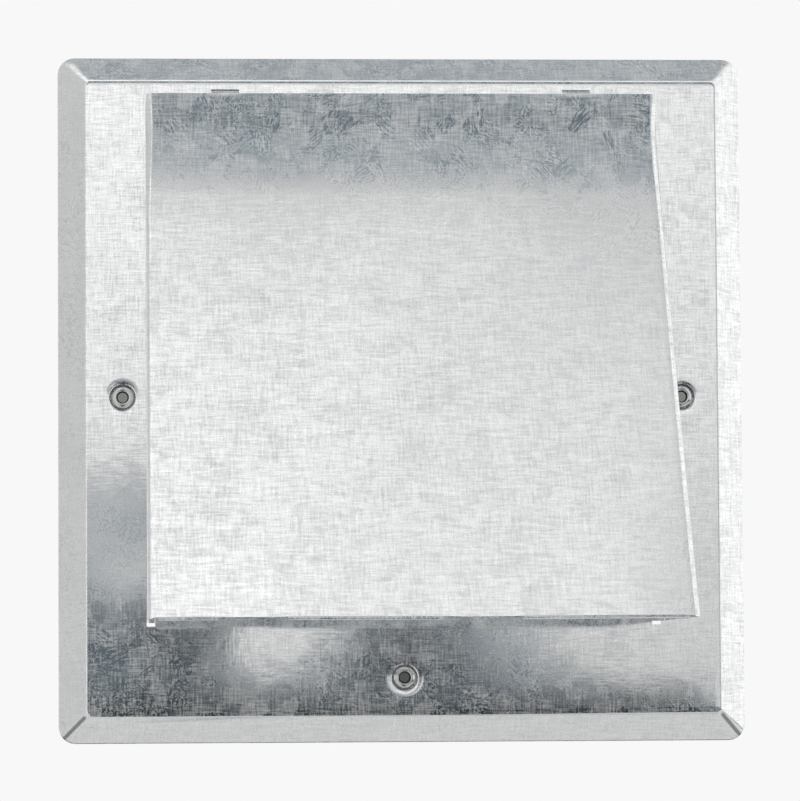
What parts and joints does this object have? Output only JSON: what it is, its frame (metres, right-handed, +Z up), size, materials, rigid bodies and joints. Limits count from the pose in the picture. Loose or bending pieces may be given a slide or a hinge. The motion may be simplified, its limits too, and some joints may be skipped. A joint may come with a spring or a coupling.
{
  "type": "ventilation grille",
  "caption": "Square galvanised wall grille with a sloping rim, a rain hood open at the bottom, a bird mesh and a round duct collar behind.",
  "frame": {"origin": "centre of the screw circle on the duct's axis, in the wall plane", "axes": "+Z up the wall, +Y into the wall along the duct, +X to the right seen from the front"},
  "size_m": [0.25, 0.163, 0.25],
  "materials": {
    "galvanised_sheet": "spangled hot-dip zinc",
    "zinc_wire": "dull galvanised wire",
    "screw_steel": "bright zinc plate",
    "rivet_aluminium": "plain",
    "rivet_steel": "dull",
    "seal_foam": "closed-cell foam",
    "nylon": "natural nylon"
  },
  "bodies": {
    "plate": {"face_plate": "galvanised_sheet", "duct_collar": "galvanised_sheet", "clamp_ring": "galvanised_sheet", "collar_rivets": "rivet_aluminium", "rivet_mandrels": "rivet_steel", "mesh_wires_upright": "zinc_wire", "mesh_wires_across": "zinc_wire", "wall_seal": "seal_foam", "fixing_screws": "screw_steel", "screw_retainers": "nylon"},
    "hood": {"hood": "galvanised_sheet"}
  },
  "joints": [
    {"name": "hood_hinge", "type": "hinge", "parent": "plate", "child": "hood", "pos_m": [0, -0.0123, 0.11068], "axis": [-1, 0, 0], "range_deg": [0, 45]}
  ]
}
